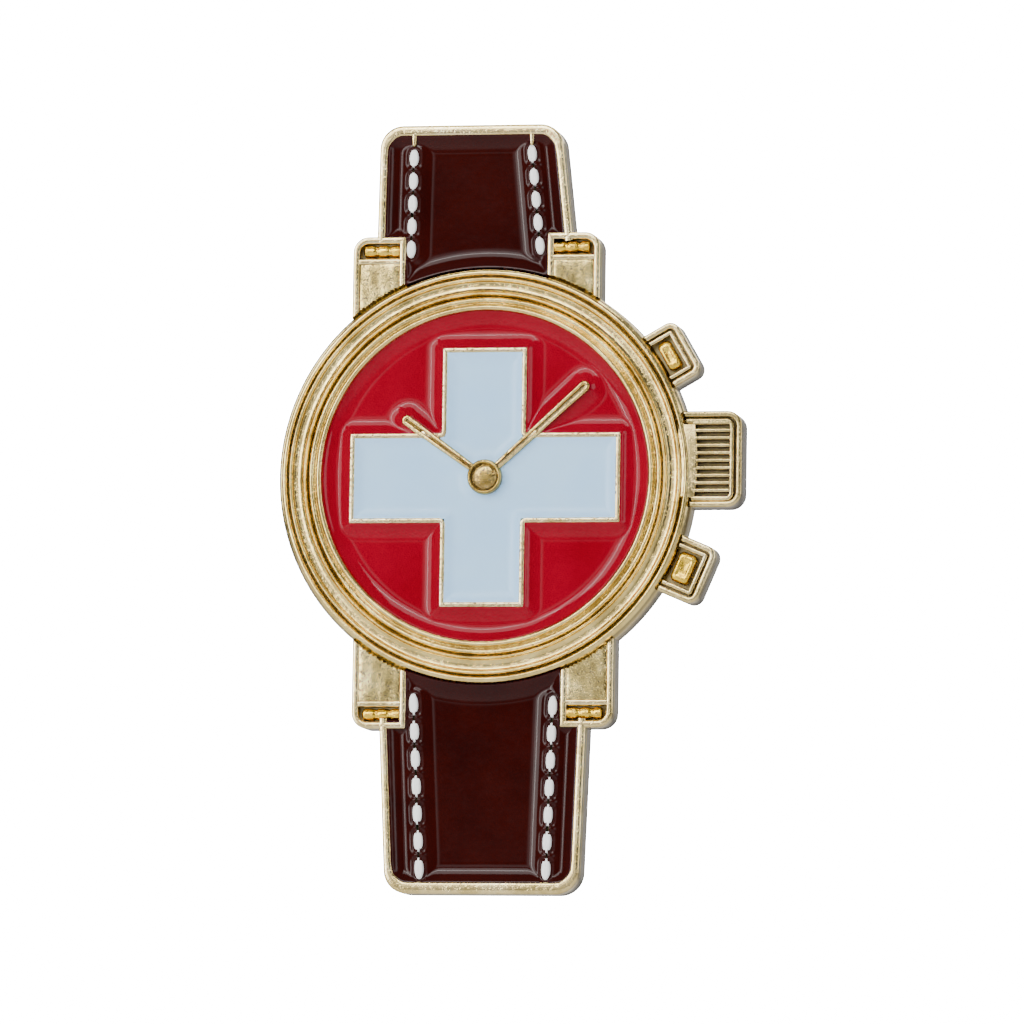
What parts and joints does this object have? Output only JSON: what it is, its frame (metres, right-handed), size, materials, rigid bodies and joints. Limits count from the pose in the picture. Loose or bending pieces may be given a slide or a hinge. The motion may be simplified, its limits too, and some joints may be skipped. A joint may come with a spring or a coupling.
{
  "type": "enamel lapel pin",
  "caption": "Soft-enamel lapel pin shaped like a chronograph wristwatch, with strap, lugs, crown, pushers and dial cast in relief, held by posts and butterfly clutches.",
  "frame": {"origin": "on the flat back of the plate, behind the middle of the dial and midway between the two posts, where the badge lies against the cloth", "axes": "+Z towards 12 o'clock and the upper strap end, +X towards the crown, the enamelled face looks along -Y and the posts point along +Y"},
  "size_m": [0.0236, 0.0102, 0.0388],
  "materials": {
    "gold_plate": "bright pale gold plating with a slightly grainy cast surface in the hollows",
    "red_enamel": "glossy baked enamel",
    "white_enamel": "glossy baked enamel, cool white",
    "strap_enamel": "glossy baked enamel, dark oxblood brown",
    "stitch_white": "glossy white, raised and rounded",
    "post_metal": "plated, satin",
    "clutch_brass": "bright stamped brass"
  },
  "bodies": {
    "badge": {"badge_plate": "gold_plate", "dial_red_enamel": "red_enamel", "cross_white_enamel_top": "white_enamel", "cross_white_enamel_low": "white_enamel", "strap_enamel_upper": "strap_enamel", "strap_enamel_lower": "strap_enamel", "stitches_upper_left": "stitch_white", "stitches_upper_right": "stitch_white", "stitches_lower_left": "stitch_white", "stitches_lower_right": "stitch_white", "upper_post": "post_metal", "upper_post_flange": "post_metal", "lower_post": "post_metal", "lower_post_flange": "post_metal"},
    "upper_cup": {"upper_clutch_cup": "clutch_brass"},
    "upper_clip": {"upper_clutch_clip": "clutch_brass"},
    "upper_tongue_wing": {"upper_clutch_tongue_wing": "clutch_brass"},
    "upper_window_wing": {"upper_clutch_window_wing": "clutch_brass"},
    "lower_cup": {"lower_clutch_cup": "clutch_brass"},
    "lower_clip": {"lower_clutch_clip": "clutch_brass"},
    "lower_tongue_wing": {"lower_clutch_tongue_wing": "clutch_brass"},
    "lower_window_wing": {"lower_clutch_window_wing": "clutch_brass"}
  },
  "joints": [
    {"name": "upper_clutch_slide", "type": "slide", "parent": "badge", "child": "upper_cup", "axis": [0, 1, 0], "range_m": [-0.0011, 0.009]},
    {"name": "upper_clip_spin", "type": "hinge", "parent": "upper_cup", "child": "upper_clip", "pos_m": [0, 0.002, 0.0067], "axis": [0, 1, 0], "continuous": true},
    {"name": "upper_tongue_squeeze", "type": "hinge", "parent": "upper_clip", "child": "upper_tongue_wing", "pos_m": [-0.0034, 0.00268, 0.0067], "axis": [0, 0, 1], "range_deg": [0, 8], "stiffness_Nm_per_rad": 0.001},
    {"name": "upper_window_squeeze", "type": "hinge", "parent": "upper_clip", "child": "upper_window_wing", "pos_m": [0.0034, 0.00268, 0.0067], "axis": [0, 0, 1], "range_deg": [-8, 0]},
    {"name": "lower_clutch_slide", "type": "slide", "parent": "badge", "child": "lower_cup", "axis": [0, 1, 0], "range_m": [-0.0011, 0.009]},
    {"name": "lower_clip_spin", "type": "hinge", "parent": "lower_cup", "child": "lower_clip", "pos_m": [0, 0.002, -0.0067], "axis": [0, 1, 0], "continuous": true},
    {"name": "lower_tongue_squeeze", "type": "hinge", "parent": "lower_clip", "child": "lower_tongue_wing", "pos_m": [-0.0034, 0.00268, -0.0067], "axis": [0, 0, 1], "range_deg": [0, 8], "stiffness_Nm_per_rad": 0.001},
    {"name": "lower_window_squeeze", "type": "hinge", "parent": "lower_clip", "child": "lower_window_wing", "pos_m": [0.0034, 0.00268, -0.0067], "axis": [0, 0, 1], "range_deg": [-8, 0]}
  ],
  "couplings": [
    {"joint": "upper_window_squeeze", "follows": "upper_tongue_squeeze", "ratio": -1},
    {"joint": "lower_window_squeeze", "follows": "lower_tongue_squeeze", "ratio": -1}
  ]
}
